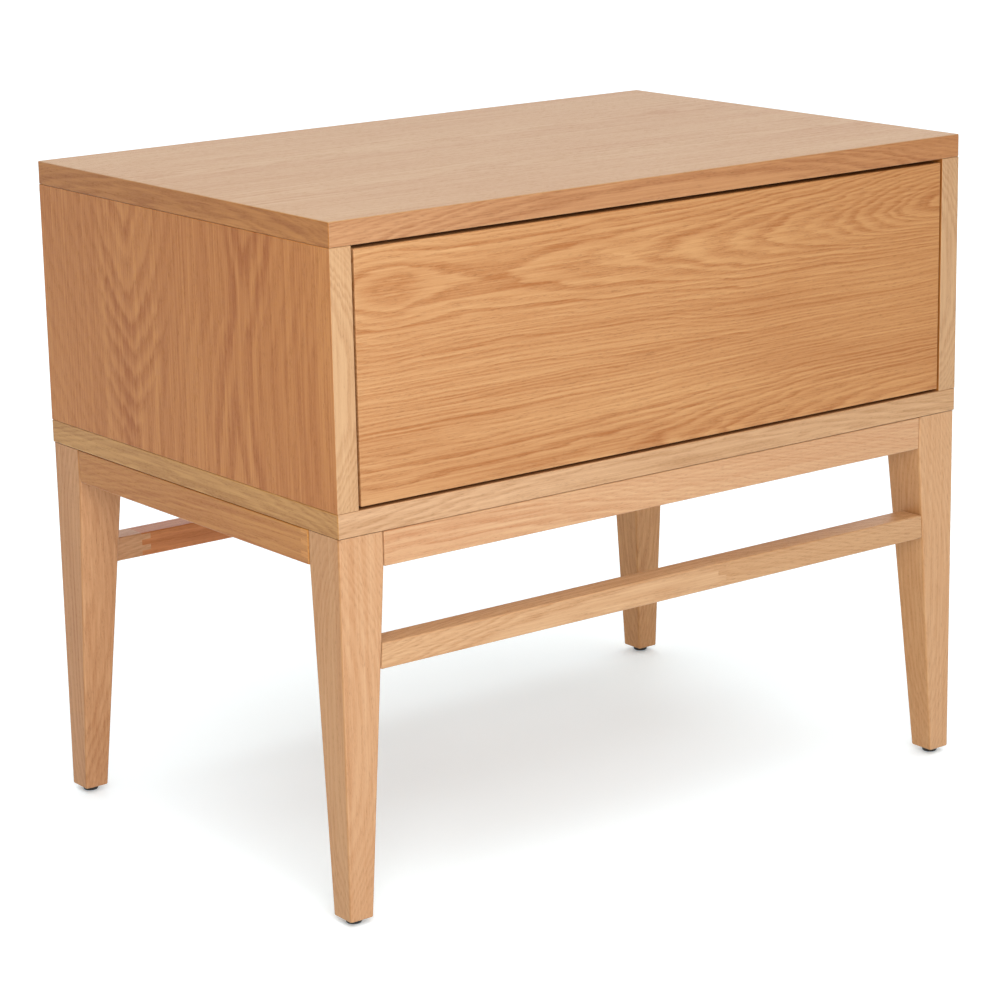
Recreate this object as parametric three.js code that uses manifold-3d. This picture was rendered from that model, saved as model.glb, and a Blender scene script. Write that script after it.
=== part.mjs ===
// A bedside table: an oak-veneered box with one push-to-open drawer, standing on a solid oak leg frame.
// Millimetres. +X is the table's right as seen from the front, -Y its front, +Z up; the origin is on
// the floor under the middle of the table.
import * as THREE from 'three';
import { mergeVertices } from 'three/addons/utils/BufferGeometryUtils.js';
import { RoundedBoxGeometry } from 'three/addons/geometries/RoundedBoxGeometry.js';
import Module from 'manifold-3d';

const wasm = await Module();
wasm.setup();

// ---- Driving dimensions -------------------------------------------------------------------------
const WIDTH = 600;
const DEPTH = 394;
const HEIGHT = 510;
const BOARD = 18; // thickness of the box's boards and of the drawer's front
const BOX_HEIGHT = 222; // top board, sides and bottom board together
const FIT = 0.3; // air left between pieces that touch
const OVERCUT = 1; // how far a cutting shape runs past the face that it opens
const BOARD_EASING = 1.2; // rounding of the top and bottom boards' arrises
const SIDE_EASING = 0.9;
const FRONT_EASING = 0.8;
const DRAWER_EASING = 0.6;

const LEG_INSET = 0.5; // the leg frame stands back this much from the box all round
const LEG_HEAD = 38; // square section at the top of a leg
const FOOT_WIDTH = 20; // section at the foot, along X
const FOOT_DEPTH = 22; // section at the foot, along Y
const APRON_HEIGHT = 25.7;
const APRON_THICK = 18;
const TENON_LENGTH = 14;
const TENON_THICK = 8;
const TENON_SHOULDER = 4; // step above and below a tenon
const STRETCHER_TOP = 206.5;
const STRETCHER_HEIGHT = 19;
const STRETCHER_DEPTH = 22;
const STRETCHER_TENON_LENGTH = 12;
const STRETCHER_TENON_THICK = 10;
const GLIDE_RADIUS = 6;
const GLIDE_HEIGHT = 4;

const DRAWER_GAP_SIDE = 2;
const DRAWER_GAP_TOP = 2.7;
const DRAWER_GAP_BOTTOM = 2.3;
const DRAWER_WALL = 12; // thickness of the drawer box's sides and back
const DRAWER_LENGTH = 300;
const DRAWER_BOX_BOTTOM = 320; // height above the floor of the drawer sides' lower edge
const DRAWER_BOX_HEIGHT = 135;
const DRAWER_BOTTOM_RISE = 10; // from the sides' lower edge to the bottom board
const THIN_BOARD = 6; // drawer bottom and back panel
const GROOVE_DEPTH = 6;
const BACK_SETBACK = 8; // from the rear edges to the back panel

const RAIL_HEIGHT_Z = 372; // centre line of the runners above the floor
const RAIL_SPACE = 13; // between the box's side and the drawer's side
const RAIL_SHEET = 1.2;
const RAIL_SETBACK = 3; // from the drawer front's rear face to the front end of the runners
// Each rail is a channel: where its web stands and its lips end, measured from the box's side, and
// half its height.
const CABINET_RAIL = { web: FIT, lips: 10.8, half: 22.8 };
const MIDDLE_RAIL = { web: 4.2, lips: 10.6, half: 17 };
const DRAWER_RAIL = { web: RAIL_SPACE - FIT, lips: 6.6, half: 12 };

// ---- Derived places -----------------------------------------------------------------------------
const halfWidth = WIDTH / 2;
const halfDepth = DEPTH / 2;
const boxBottom = HEIGHT - BOX_HEIGHT;
const openingHalfWidth = halfWidth - BOARD;
const openingBottom = boxBottom + BOARD;
const openingTop = HEIGHT - BOARD;
const frameTop = boxBottom - FIT;
const apronBottom = frameTop - APRON_HEIGHT;
const legOuterX = halfWidth - LEG_INSET;
const legOuterY = halfDepth - LEG_INSET;
const backPanelRear = halfDepth - BACK_SETBACK;
const backPanelFront = backPanelRear - THIN_BOARD;
const frontBack = -halfDepth + BOARD; // rear face of the drawer's front
const drawerStart = frontBack + FIT;
const drawerEnd = drawerStart + DRAWER_LENGTH;
const drawerHalfWidth = openingHalfWidth - RAIL_SPACE;
const drawerBottomZ = DRAWER_BOX_BOTTOM + DRAWER_BOTTOM_RISE; // underside of the drawer's bottom board
const SIDES = [['left', -1], ['right', 1]];
const ENDS = [['front', -1], ['back', 1]];

// ---- Materials ----------------------------------------------------------------------------------
const finish = (color, roughness, metalness = 0) =>
  new THREE.MeshStandardMaterial({ color, roughness, metalness });
const oakTop = finish(0xd8b798, 0.45);
const oakSide = finish(0xb97f55, 0.5);
const oakFront = finish(0xcd9159, 0.48);
const oakSolid = finish(0xd9ac7c, 0.5);
const birch = finish(0xdcc49c, 0.6);
const zinc = finish(0xb9bcc0, 0.35, 1);
const blackPlastic = finish(0x161514, 0.55);
const greyPlastic = finish(0x8d8f91, 0.5);

// ---- Shape helpers ------------------------------------------------------------------------------
const group = new THREE.Group();

function addPiece(name, geometry, material) {
  const mesh = new THREE.Mesh(geometry, material);
  mesh.name = name;
  group.add(mesh);
}

// A block between two values on each axis; a rounding above 0 eases all its arrises.
function block([x0, x1], [y0, y1], [z0, z1], rounding = 0) {
  const size = [x1 - x0, y1 - y0, z1 - z0];
  const geometry = rounding > 0
    ? new RoundedBoxGeometry(...size, 1, rounding)
    : new THREE.BoxGeometry(...size);
  return geometry.translate((x0 + x1) / 2, (y0 + y1) / 2, (z0 + z1) / 2);
}

// The same span on either side of the middle plane: side is -1 or 1.
const mirrored = (side, a, b) => (side < 0 ? [-b, -a] : [a, b]);

function toSolid(geometry) {
  const bare = geometry.clone();
  bare.deleteAttribute('normal');
  bare.deleteAttribute('uv');
  const merged = mergeVertices(bare, 1e-4);
  return new wasm.Manifold(new wasm.Mesh({
    numProp: 3,
    vertProperties: new Float32Array(merged.attributes.position.array),
    triVerts: new Uint32Array(merged.index.array),
  }));
}

function fromSolid(solid) {
  const mesh = solid.getMesh();
  const geometry = new THREE.BufferGeometry();
  geometry.setAttribute('position', new THREE.BufferAttribute(mesh.vertProperties, 3));
  geometry.setIndex(new THREE.BufferAttribute(mesh.triVerts, 1));
  geometry.computeVertexNormals();
  return geometry;
}

const combine = (method, first, others) =>
  fromSolid(others.reduce((solid, other) => solid[method](toSolid(other)), toSolid(first)));
const cut = (geometry, ...tools) => combine('subtract', geometry, tools);
const join = (geometry, ...parts) => combine('add', geometry, parts);
const common = (geometry, other) => combine('intersect', geometry, [other]);

// A turned shape: pairs of radius and height up a +Y axis, closed on the axis at both ends.
const turned = (pairs, sides = 12) =>
  new THREE.LatheGeometry(pairs.map(([r, h]) => new THREE.Vector2(r, h)), sides);

// A drill or pin of one radius, from the origin along +Y.
const rod = (radius, length) => turned([[0, 0], [radius, 0], [radius, length], [0, length]]);

// A pan-head screw along +Y: the head sits below 0, the shank runs up from 0 to its point.
const screw = (headRadius, headHeight, shankRadius, length) => turned([
  [0, -headHeight], [headRadius * 0.7, -headHeight], [headRadius, -headHeight * 0.45],
  [headRadius, 0], [shankRadius, 0], [shankRadius, length - 2 * shankRadius], [0, length],
]);

// Turns a shape made along +Y so that it points along +X or -X, or up.
const pointedX = (geometry, side) => geometry.rotateZ(side > 0 ? -Math.PI / 2 : Math.PI / 2);
const pointedUp = (geometry) => geometry.rotateX(Math.PI / 2);

// A bar of constant section along Y: points are [x, z] pairs.
function barAlongY(points, y0, y1) {
  const shape = new THREE.Shape(points.map(([x, z]) => new THREE.Vector2(x, z)));
  const bar = new THREE.ExtrudeGeometry(shape, { depth: y1 - y0, bevelEnabled: false });
  return bar.rotateX(Math.PI / 2).translate(0, y1, 0);
}

// ---- The box ------------------------------------------------------------------------------------
const grooveY = [backPanelFront - FIT, backPanelRear + FIT];
const grooveX = openingHalfWidth + GROOVE_DEPTH + OVERCUT;
const frameScrew = { shank: 2, head: 4, headHeight: 2.4, length: 34, inset: 45.5 };
const blockHeight = 22;
const blockBottom = frameTop - blockHeight;

const drillFrameScrews = [];
for (const [, side] of SIDES) {
  for (const [, end] of ENDS) {
    const x = side * (halfWidth - frameScrew.inset);
    const y = end * (halfDepth - frameScrew.inset);
    const drill = pointedUp(rod(frameScrew.shank + FIT, frameScrew.length + FIT));
    drillFrameScrews.push(drill.translate(x, y, blockBottom));
  }
}

const topBoard = block(
  [-halfWidth, halfWidth], [-halfDepth, halfDepth], [openingTop, HEIGHT], BOARD_EASING);
const topGroove = block([-grooveX, grooveX], grooveY,
  [openingTop - OVERCUT, openingTop + GROOVE_DEPTH + OVERCUT]);
addPiece('top_panel', cut(topBoard, topGroove), oakTop);

const bottomBoard = block(
  [-halfWidth, halfWidth], [-halfDepth, halfDepth], [boxBottom, openingBottom], BOARD_EASING);
const bottomGroove = block(
  [-grooveX, grooveX], grooveY, [openingBottom - GROOVE_DEPTH - OVERCUT, openingBottom + OVERCUT]);
addPiece('bottom_panel', cut(bottomBoard, bottomGroove, ...drillFrameScrews), oakSolid);

const cabinetScrew = { shank: 1.75, head: 3.8, headHeight: 1.5, length: 13 };
const railScrewY = [-140, 92];
const cabinetRailFace = 2 * FIT + RAIL_SHEET; // from the box's side to the seat of the screw heads

for (const [name, side] of SIDES) {
  const board = block(mirrored(side, openingHalfWidth, halfWidth), [-halfDepth, halfDepth],
    [openingBottom + FIT, openingTop - FIT], SIDE_EASING);
  const groove = block(mirrored(side, openingHalfWidth - OVERCUT, grooveX), grooveY,
    [openingBottom - OVERCUT, openingTop + OVERCUT]);
  const drills = railScrewY.map((y) =>
    pointedX(rod(cabinetScrew.shank + FIT, cabinetScrew.length + FIT), side)
      .translate(side * (openingHalfWidth - cabinetRailFace), y, RAIL_HEIGHT_Z));
  addPiece(`${name}_side_panel`, cut(board, groove, ...drills), oakSide);
}

const backReach = GROOVE_DEPTH + OVERCUT - FIT; // how far the back panel runs into its grooves
const backHalfWidth = openingHalfWidth + backReach;
addPiece('back_panel', block([-backHalfWidth, backHalfWidth], [backPanelFront, backPanelRear],
  [openingBottom - backReach, openingTop + backReach]), oakSide);

// ---- The leg frame ------------------------------------------------------------------------------
const headInnerX = legOuterX - LEG_HEAD;
const headInnerY = legOuterY - LEG_HEAD;
const footBottom = GLIDE_HEIGHT + FIT;
const footCentre = [legOuterX - FOOT_WIDTH / 2, legOuterY - FOOT_DEPTH / 2];
const glidePin = { radius: 1.5, length: 12, point: 2 };
const glideEasing = 1;
const apronMiddle = APRON_THICK / 2; // from the frame's outer face to the middle of a tenon
const apronTenonZ = [apronBottom + TENON_SHOULDER, frameTop - TENON_SHOULDER];
const stretcherZ = [STRETCHER_TOP - STRETCHER_HEIGHT, STRETCHER_TOP];
const stretcherTenonZ = [stretcherZ[0] + TENON_SHOULDER, stretcherZ[1] - TENON_SHOULDER];

// Inner X face of a leg at a height between the foot and the apron's lower edge.
const taper = (foot, z) => foot + (LEG_HEAD - foot) * (z - footBottom) / (apronBottom - footBottom);
const legWidthAt = (z) => (z >= apronBottom ? LEG_HEAD : taper(FOOT_WIDTH, z));

// Outline of a leg seen square on: outer face straight, inner face tapered below the apron.
function legOutline(foot) {
  return [[0, footBottom], [foot, footBottom], [LEG_HEAD, apronBottom], [LEG_HEAD, frameTop],
    [0, frameTop]];
}

const grown = ([low, high], by = FIT) => [low - by, high + by];
const tenonAcross = (outer, end) =>
  mirrored(end, outer - apronMiddle - TENON_THICK / 2, outer - apronMiddle + TENON_THICK / 2);
const stretcherMiddle = legOuterY - STRETCHER_DEPTH / 2;
const stretcherTenonY = (end) => mirrored(
  end, stretcherMiddle - STRETCHER_TENON_THICK / 2, stretcherMiddle + STRETCHER_TENON_THICK / 2);
const stretcherReach = legOuterX - legWidthAt(stretcherZ[1]) - FIT; // shoulder at the stretcher's top
const stretcherFoot = legOuterX - legWidthAt(stretcherZ[0]) - FIT; // shoulder at its lower edge
const stretcherTenonEnd = stretcherReach + STRETCHER_TENON_LENGTH;

for (const [endName, end] of ENDS) {
  for (const [sideName, side] of SIDES) {
    const across = barAlongY(
      legOutline(FOOT_WIDTH).map(([x, z]) => [side * (legOuterX - x), z]), -halfDepth, halfDepth);
    const along = barAlongY(legOutline(FOOT_DEPTH).map(([x, z]) => [end * (legOuterY - x), z]),
      -halfWidth, halfWidth).rotateZ(Math.PI / 2);
    const post = common(across, along);
    const mortiseForFront = block(
      mirrored(side, headInnerX - TENON_LENGTH, headInnerX + TENON_LENGTH + FIT),
      grown(tenonAcross(legOuterY, end)), grown(apronTenonZ));
    const mortiseForSide = block(grown(tenonAcross(legOuterX, side)),
      mirrored(end, headInnerY - TENON_LENGTH, headInnerY + TENON_LENGTH + FIT), grown(apronTenonZ));
    const mortiseForStretcher = block(mirrored(side, 0, stretcherTenonEnd + FIT),
      grown(stretcherTenonY(end)), grown(stretcherTenonZ));
    const pinHole = pointedUp(rod(glidePin.radius + FIT, glidePin.length + OVERCUT))
      .translate(side * footCentre[0], end * footCentre[1], footBottom - OVERCUT);
    addPiece(`${endName}_${sideName}_leg`,
      cut(post, mortiseForFront, mortiseForSide, mortiseForStretcher, pinHole), oakSolid);

    const glide = pointedUp(turned([[0, 0], [GLIDE_RADIUS - glideEasing, 0], [GLIDE_RADIUS, glideEasing],
      [GLIDE_RADIUS, GLIDE_HEIGHT], [glidePin.radius, GLIDE_HEIGHT],
      [glidePin.radius, GLIDE_HEIGHT + glidePin.length - glidePin.point],
      [0, GLIDE_HEIGHT + glidePin.length]], 20));
    addPiece(`glide_${endName}_${sideName}`,
      glide.translate(side * footCentre[0], end * footCentre[1], 0), blackPlastic);
  }

  // Aprons and stretchers between the left and right legs, with a tenon at each end.
  const apronHalf = headInnerX - FIT;
  const apronBody = block([-apronHalf, apronHalf], mirrored(end, legOuterY - APRON_THICK, legOuterY),
    [apronBottom, frameTop]);
  const apronTenons = block([-apronHalf - TENON_LENGTH, apronHalf + TENON_LENGTH],
    tenonAcross(legOuterY, end), apronTenonZ);
  addPiece(`${endName}_apron`, join(apronBody, apronTenons), oakSolid);

  const stretcherBody = barAlongY(
    [[-stretcherFoot, stretcherZ[0]], [stretcherFoot, stretcherZ[0]],
      [stretcherReach, stretcherZ[1]], [-stretcherReach, stretcherZ[1]]],
    ...mirrored(end, legOuterY - STRETCHER_DEPTH, legOuterY));
  const stretcherTenons = block([-stretcherTenonEnd, stretcherTenonEnd], stretcherTenonY(end),
    stretcherTenonZ);
  addPiece(`${endName}_stretcher`, join(stretcherBody, stretcherTenons), oakSolid);
}

for (const [sideName, side] of SIDES) {
  const apronHalf = headInnerY - FIT;
  const body = block(mirrored(side, legOuterX - APRON_THICK, legOuterX), [-apronHalf, apronHalf],
    [apronBottom, frameTop]);
  const tenons = block(tenonAcross(legOuterX, side), [-apronHalf - TENON_LENGTH, apronHalf + TENON_LENGTH],
    apronTenonZ);
  addPiece(`${sideName}_apron`, join(body, tenons), oakSolid);
}

// Corner blocks: notched triangles glued behind each leg, with a screw up into the bottom board.
const blockLeg = 90; // how far a block reaches along each apron, from the frame's outer corner
const clearOfApron = APRON_THICK + FIT;
const clearOfLeg = LEG_HEAD + FIT;
const blockOutline = [[clearOfApron, clearOfLeg], [clearOfLeg, clearOfLeg], [clearOfLeg, clearOfApron],
  [blockLeg, clearOfApron], [clearOfApron, blockLeg]];
for (const [endName, end] of ENDS) {
  for (const [sideName, side] of SIDES) {
    const corners = blockOutline.map(([x, y]) =>
      new THREE.Vector2(side * (legOuterX - x), end * (legOuterY - y)));
    const outline = new THREE.Shape(corners);
    const body = new THREE.ExtrudeGeometry(outline, { depth: blockHeight, bevelEnabled: false })
      .translate(0, 0, blockBottom);
    const x = side * (halfWidth - frameScrew.inset);
    const y = end * (halfDepth - frameScrew.inset);
    const hole = pointedUp(rod(frameScrew.shank + FIT, blockHeight + 2 * OVERCUT))
      .translate(x, y, blockBottom - OVERCUT);
    addPiece(`corner_block_${endName}_${sideName}`, cut(body, hole), birch);
    const fastener = pointedUp(screw(frameScrew.head, frameScrew.headHeight, frameScrew.shank,
      frameScrew.length));
    addPiece(`frame_screw_${endName}_${sideName}`, fastener.translate(x, y, blockBottom - FIT), zinc);
  }
}

// ---- The drawer ---------------------------------------------------------------------------------
const frontScrew = { shank: 2, head: 4, headHeight: 2, length: 19, x: 150, z: 400 };
const subFrontBack = drawerStart + DRAWER_WALL;
const innerHalfWidth = drawerHalfWidth - DRAWER_WALL;
const drawerTop = DRAWER_BOX_BOTTOM + DRAWER_BOX_HEIGHT;
const thinGroove = [drawerBottomZ - FIT, drawerBottomZ + THIN_BOARD + FIT];
const frontScrewX = [['left', -frontScrew.x], ['right', frontScrew.x]];
const alongFront = (geometry, x) =>
  geometry.rotateZ(Math.PI).translate(x, subFrontBack + FIT, frontScrew.z);

const frontDrills = frontScrewX.map(([, x]) =>
  alongFront(rod(frontScrew.shank + FIT, frontScrew.length + FIT), x));
const frontHalfWidth = openingHalfWidth - DRAWER_GAP_SIDE;
const front = block([-frontHalfWidth, frontHalfWidth], [-halfDepth, frontBack],
  [openingBottom + DRAWER_GAP_BOTTOM, openingTop - DRAWER_GAP_TOP], FRONT_EASING);
addPiece('drawer_front', cut(front, ...frontDrills), oakFront);

const subFront = block([-innerHalfWidth + FIT, innerHalfWidth - FIT], [drawerStart, subFrontBack],
  [DRAWER_BOX_BOTTOM, drawerTop]);
const subFrontGroove = block([-innerHalfWidth - OVERCUT, innerHalfWidth + OVERCUT],
  [subFrontBack - GROOVE_DEPTH, subFrontBack + OVERCUT], thinGroove);
addPiece('drawer_sub_front', cut(subFront, subFrontGroove, ...frontDrills), birch);
for (const [name, x] of frontScrewX) {
  const fastener = screw(frontScrew.head, frontScrew.headHeight, frontScrew.shank, frontScrew.length);
  addPiece(`drawer_front_screw_${name}`, alongFront(fastener, x), zinc);
}

const drawerScrew = { shank: 1.75, head: 3.8, headHeight: 1.4, length: 10 };
const drawerRailSeat = RAIL_SPACE - RAIL_SHEET - 2 * FIT; // from the box's side to the screw heads' seat
for (const [name, side] of SIDES) {
  const board = block(mirrored(side, innerHalfWidth, drawerHalfWidth), [drawerStart, drawerEnd],
    [DRAWER_BOX_BOTTOM, drawerTop], DRAWER_EASING);
  const groove = block(mirrored(side, innerHalfWidth - OVERCUT, innerHalfWidth + GROOVE_DEPTH),
    [subFrontBack - GROOVE_DEPTH, drawerEnd + OVERCUT], thinGroove);
  const drills = railScrewY.map((y) =>
    pointedX(rod(drawerScrew.shank + FIT, drawerScrew.length + FIT), -side)
      .translate(side * (openingHalfWidth - drawerRailSeat), y, RAIL_HEIGHT_Z));
  addPiece(`drawer_${name}_side`, cut(board, groove, ...drills), birch);
}

const drawerBottomTop = drawerBottomZ + THIN_BOARD;
addPiece('drawer_bottom', block(
  [-innerHalfWidth - GROOVE_DEPTH + FIT, innerHalfWidth + GROOVE_DEPTH - FIT],
  [subFrontBack - GROOVE_DEPTH + FIT, drawerEnd], [drawerBottomZ, drawerBottomTop]), birch);
addPiece('drawer_back', block([-innerHalfWidth + FIT, innerHalfWidth - FIT],
  [drawerEnd - DRAWER_WALL, drawerEnd], [drawerBottomTop + FIT, drawerTop], DRAWER_EASING), birch);

// ---- The ball-bearing runners -------------------------------------------------------------------
// Each is three nested channels of folded sheet.
const railStart = frontBack + RAIL_SETBACK;
const railEnd = railStart + DRAWER_LENGTH;

function channel(side, { web, lips, half }) {
  const webInner = web + Math.sign(lips - web) * RAIL_SHEET;
  const at = (fromSide, z) => [side * (openingHalfWidth - fromSide), RAIL_HEIGHT_Z + z];
  const inner = half - RAIL_SHEET;
  return barAlongY([at(web, -half), at(lips, -half), at(lips, -inner), at(webInner, -inner),
    at(webInner, inner), at(lips, inner), at(lips, half), at(web, half)], railStart, railEnd);
}

// Drills through a rail's web, on the axes of its two screws.
const webDrills = (fastener, side, towards, { web }) => railScrewY.map((y) =>
  pointedX(rod(fastener.shank + FIT, 2 * RAIL_SHEET), towards).translate(
    side * (openingHalfWidth - web) - towards * 1.5 * RAIL_SHEET, y, RAIL_HEIGHT_Z));

for (const [name, side] of SIDES) {
  addPiece(`${name}_cabinet_rail`,
    cut(channel(side, CABINET_RAIL), ...webDrills(cabinetScrew, side, side, CABINET_RAIL)), zinc);
  addPiece(`${name}_middle_rail`, channel(side, MIDDLE_RAIL), zinc);
  addPiece(`${name}_drawer_rail`,
    cut(channel(side, DRAWER_RAIL), ...webDrills(drawerScrew, side, -side, DRAWER_RAIL)), zinc);

  for (const [place, y] of [['front', railScrewY[0]], ['back', railScrewY[1]]]) {
    const intoBox = pointedX(screw(cabinetScrew.head, cabinetScrew.headHeight, cabinetScrew.shank,
      cabinetScrew.length), side);
    addPiece(`cabinet_rail_screw_${name}_${place}`,
      intoBox.translate(side * (openingHalfWidth - cabinetRailFace), y, RAIL_HEIGHT_Z), zinc);
    const intoDrawer = pointedX(screw(drawerScrew.head, drawerScrew.headHeight, drawerScrew.shank,
      drawerScrew.length), -side);
    addPiece(`drawer_rail_screw_${name}_${place}`,
      intoDrawer.translate(side * (openingHalfWidth - drawerRailSeat), y, RAIL_HEIGHT_Z), zinc);
  }
}

// ---- The push-to-open latch ---------------------------------------------------------------------
const LATCH_PRESS = 2.5; // gap in which the drawer can be pushed in before it meets the plunger
const strike = { halfWidth: 12, height: 18, thick: 1.5 };
const stand = { halfWidth: 20, height: 30 }; // wood block that lifts the latch to the drawer's back
const housing = { halfWidth: 7, length: 48, flangeHalf: 16, flangeThick: 2, wall: 4 };
const plunger = { radius: 4, tipRadius: 5.2, tipLength: 3, tipEasing: 1, stroke: 6.5 };
const latchScrew = { shank: 1.5, head: 2.8, headHeight: 1.5, length: 14, x: 11 };
const springCoil = { radius: 3, wire: 0.45, turns: 5, length: 11 };

const strikeBack = drawerEnd + FIT + strike.thick;
const standTop = openingBottom + FIT + stand.height;
const flangeBottom = standTop + FIT;
const flangeTop = flangeBottom + housing.flangeThick;
const plungerZ = flangeBottom + housing.halfWidth + 1;
const tipY = strikeBack + LATCH_PRESS;
const housingY = [tipY + plunger.stroke, tipY + plunger.stroke + housing.length];
const boreEnd = housingY[1] - housing.wall;
const plungerEnd = boreEnd - springCoil.length;
const latchScrewPlaces = [['left', -latchScrew.x], ['right', latchScrew.x]];
const latchScrewY = (housingY[0] + housingY[1]) / 2;

addPiece('latch_strike', block([-strike.halfWidth, strike.halfWidth], [drawerEnd + FIT, strikeBack],
  [drawerBottomTop + 1, drawerBottomTop + 1 + strike.height]), zinc);

const latchDrillLength = latchScrew.length + housing.flangeThick + 2 * OVERCUT;
const latchDrills = latchScrewPlaces.map(([, x]) =>
  pointedUp(rod(latchScrew.shank + FIT, latchDrillLength))
    .translate(x, latchScrewY, flangeTop + OVERCUT - latchDrillLength));
const standBlock = block([-stand.halfWidth, stand.halfWidth], housingY, [openingBottom + FIT, standTop]);
addPiece('latch_block', cut(standBlock, ...latchDrills), birch);

const flange = block([-housing.flangeHalf, housing.flangeHalf], housingY, [flangeBottom, flangeTop]);
const barrel = block([-housing.halfWidth, housing.halfWidth], housingY,
  [flangeBottom, plungerZ + housing.halfWidth]);
const bore = rod(plunger.radius + FIT, boreEnd - housingY[0] + OVERCUT)
  .translate(0, housingY[0] - OVERCUT, plungerZ);
addPiece('latch_housing', cut(join(barrel, flange), bore, ...latchDrills), greyPlastic);
for (const [name, x] of latchScrewPlaces) {
  const fastener = screw(latchScrew.head, latchScrew.headHeight, latchScrew.shank, latchScrew.length);
  addPiece(`latch_screw_${name}`,
    pointedUp(fastener).rotateX(Math.PI).translate(x, latchScrewY, flangeTop + FIT), zinc);
}

addPiece('latch_plunger', turned([
  [0, tipY], [plunger.tipRadius - plunger.tipEasing, tipY], [plunger.tipRadius, tipY + plunger.tipEasing],
  [plunger.tipRadius, tipY + plunger.tipLength], [plunger.radius, tipY + plunger.tipLength],
  [plunger.radius, plungerEnd], [0, plungerEnd]], 16).translate(0, 0, plungerZ), blackPlastic);

// The spring behind the plunger is one wire swept along a helix.
class Helix extends THREE.Curve {
  getPoint(t) {
    const angle = t * springCoil.turns * 2 * Math.PI;
    return new THREE.Vector3(springCoil.radius * Math.cos(angle),
      plungerEnd + 1 + t * (springCoil.length - 2), springCoil.radius * Math.sin(angle));
  }
}
const wire = new THREE.Shape(new THREE.Path().absarc(0, 0, springCoil.wire, 0, 2 * Math.PI).getPoints(2));
const spring = new THREE.ExtrudeGeometry(wire, { steps: 60, extrudePath: new Helix() });
addPiece('latch_spring', spring.translate(0, 0, plungerZ), zinc);

export default group;
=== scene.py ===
import math

import bmesh
import bpy
from mathutils import Matrix, Quaternion, Vector


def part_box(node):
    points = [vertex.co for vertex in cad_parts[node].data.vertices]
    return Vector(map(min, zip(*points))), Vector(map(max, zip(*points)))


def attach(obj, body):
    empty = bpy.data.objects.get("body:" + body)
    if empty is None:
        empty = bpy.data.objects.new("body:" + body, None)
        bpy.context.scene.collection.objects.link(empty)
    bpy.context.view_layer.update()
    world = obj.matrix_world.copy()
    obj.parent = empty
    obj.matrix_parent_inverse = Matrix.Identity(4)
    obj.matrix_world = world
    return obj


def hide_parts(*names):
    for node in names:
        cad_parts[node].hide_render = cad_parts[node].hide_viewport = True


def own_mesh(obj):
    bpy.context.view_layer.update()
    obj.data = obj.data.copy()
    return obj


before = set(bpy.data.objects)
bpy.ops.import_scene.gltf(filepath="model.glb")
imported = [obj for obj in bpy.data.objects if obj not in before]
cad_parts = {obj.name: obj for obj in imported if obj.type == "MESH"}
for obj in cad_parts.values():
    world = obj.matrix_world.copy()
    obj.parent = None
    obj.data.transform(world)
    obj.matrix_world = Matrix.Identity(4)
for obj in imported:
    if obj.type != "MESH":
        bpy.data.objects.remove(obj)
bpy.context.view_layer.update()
scene = bpy.context.scene

# ---- Camera ----
# Stands to the left of the table's front and a little above its top, with a long lens, and leans by
# one degree. It looks at the middle of the table.
camera_data = bpy.data.cameras.new("camera")
camera_data.sensor_width = 36
camera_data.lens = 113.9
camera_data.clip_end = 100
camera = bpy.data.objects.new("camera", camera_data)
camera.location = (-1.4871, -1.9436, 0.8606)
aim = Vector((-0.0101, -0.0008, 0.2288)) - camera.location
lean = Quaternion((0, 0, 1), math.radians(-1.11))
camera.rotation_mode = "QUATERNION"
camera.rotation_quaternion = aim.to_track_quat("-Z", "Y") @ lean
scene.collection.objects.link(camera)
scene.camera = camera

# ---- Studio ----
# A white sheet covers the floor. The wall behind the table is white and bright, and the room is dim
# and warm on the camera's side. One soft box stands in front, to the left, and daylight falls from above.
scene.view_settings.view_transform = "Standard"
room = bpy.data.worlds.new("room")
room.use_nodes = True
room_nodes, room_links = room.node_tree.nodes, room.node_tree.links
outward = room_nodes.new("ShaderNodeTexCoord")
towards_wall = room_nodes.new("ShaderNodeVectorMath")
towards_wall.operation = "DOT_PRODUCT"
towards_wall.inputs[1].default_value = (0.61, 0.79, 0.0)
walls = room_nodes.new("ShaderNodeMapRange")
walls.interpolation_type = "SMOOTHSTEP"
walls.inputs["From Min"].default_value = -0.3
walls.inputs["From Max"].default_value = 0.75
room_light = room_nodes.new("ShaderNodeMath")
room_light.operation = "MULTIPLY_ADD"
room_light.inputs[1].default_value = 1.1
room_light.inputs[2].default_value = 0.15
room_tint = room_nodes.new("ShaderNodeMix")
room_tint.data_type = "RGBA"
room_tint.inputs[6].default_value = (1.0, 0.74, 0.44, 1)
room_tint.inputs[7].default_value = (1.0, 1.0, 1.0, 1)
room_links.new(outward.outputs["Generated"], towards_wall.inputs[0])
room_links.new(towards_wall.outputs["Value"], walls.inputs["Value"])
room_links.new(walls.outputs["Result"], room_light.inputs[0])
room_links.new(walls.outputs["Result"], room_tint.inputs[0])
room_links.new(room_light.outputs["Value"], room_nodes["Background"].inputs["Strength"])
room_links.new(room_tint.outputs[2], room_nodes["Background"].inputs["Color"])
scene.world = room


def lamp(name, kind, place, target, power):
    light = bpy.data.lights.new(name, kind)
    light.energy = power
    holder = bpy.data.objects.new(name, light)
    holder.location = place
    holder.rotation_mode = "QUATERNION"
    holder.rotation_quaternion = (Vector(target) - Vector(place)).to_track_quat("-Z", "Y")
    scene.collection.objects.link(holder)
    return light


table_middle = (0, 0, 0.3)
soft_box = lamp("soft_box", "AREA", (-0.78, -1.25, 0.85), (-0.25, -0.1, 0.35), 12.5)
soft_box.shape = "RECTANGLE"
soft_box.size, soft_box.size_y = 0.9, 0.8
daylight = lamp("daylight", "SUN", (-0.4, -0.9, 3.0), table_middle, 2.0)
daylight.angle = math.radians(70)

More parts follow.
